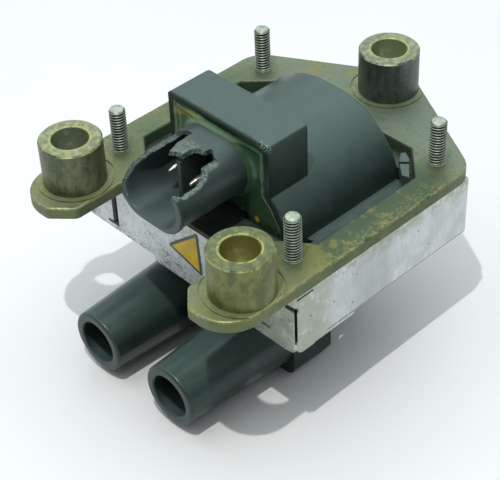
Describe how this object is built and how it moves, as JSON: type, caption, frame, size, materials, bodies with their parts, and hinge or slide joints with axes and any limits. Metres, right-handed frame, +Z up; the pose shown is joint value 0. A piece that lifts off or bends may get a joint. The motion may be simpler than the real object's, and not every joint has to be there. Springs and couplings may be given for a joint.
{
  "type": "ignition coil",
  "caption": "Block ignition coil with two high-voltage towers, a two-pin plug shroud broken open on top, and a laminated core clamped under a bushed steel mounting plate.",
  "frame": {"origin": "centre of the four-stud pattern, on the mounting plate's top face", "axes": "+Z up out of the plate along the studs and bushes; -Y the way the towers and the plug shroud point; +X to the right seen from the front"},
  "size_m": [0.0722, 0.0971, 0.0649],
  "materials": {
    "plate_steel": "dulled yellow-olive chromate plating, worn bright at the edges",
    "bush_steel": "turned steel, yellow chromate, stained",
    "stud_steel": "plain threaded steel, dulled",
    "tray_steel": "bare bright sheet with dark specks",
    "core_iron": "varnished laminations",
    "pressboard": "matte",
    "case_plastic": "satin moulded",
    "connector_plastic": "satin moulded, broken edges matte grey",
    "pin_metal": "tinned",
    "resin": "gloss casting resin",
    "clip_plastic": "satin moulded",
    "mark_film": "printed film",
    "bobbin_plastic": "glass-filled moulded",
    "copper": "enamelled copper wire",
    "film": "varnished wrap",
    "brass": "bright"
  },
  "bodies": {
    "root": {"mounting_plate": "plate_steel", "mounting_bush_left": "bush_steel", "mounting_bush_right": "bush_steel", "mounting_bush_rear": "bush_steel", "clamp_studs": "stud_steel", "stud_washers": "stud_steel", "core_tray": "tray_steel", "core_e_stack": "core_iron", "core_i_stack": "core_iron", "core_gap_shim": "pressboard", "coil_case": "case_plastic", "connector_body": "connector_plastic", "connector_pin_left": "pin_metal", "connector_pin_right": "pin_metal", "potting_resin": "resin", "corner_clip": "clip_plastic", "marking_triangle": "mark_film", "primary_bobbin": "bobbin_plastic", "secondary_bobbin": "bobbin_plastic", "primary_winding": "copper", "secondary_winding": "copper", "winding_insulation": "film", "primary_lead_left": "copper", "primary_lead_right": "copper", "ht_lead_left": "copper", "ht_lead_right": "copper", "ht_terminal_left": "brass", "ht_terminal_right": "brass"}
  },
  "joints": []
}
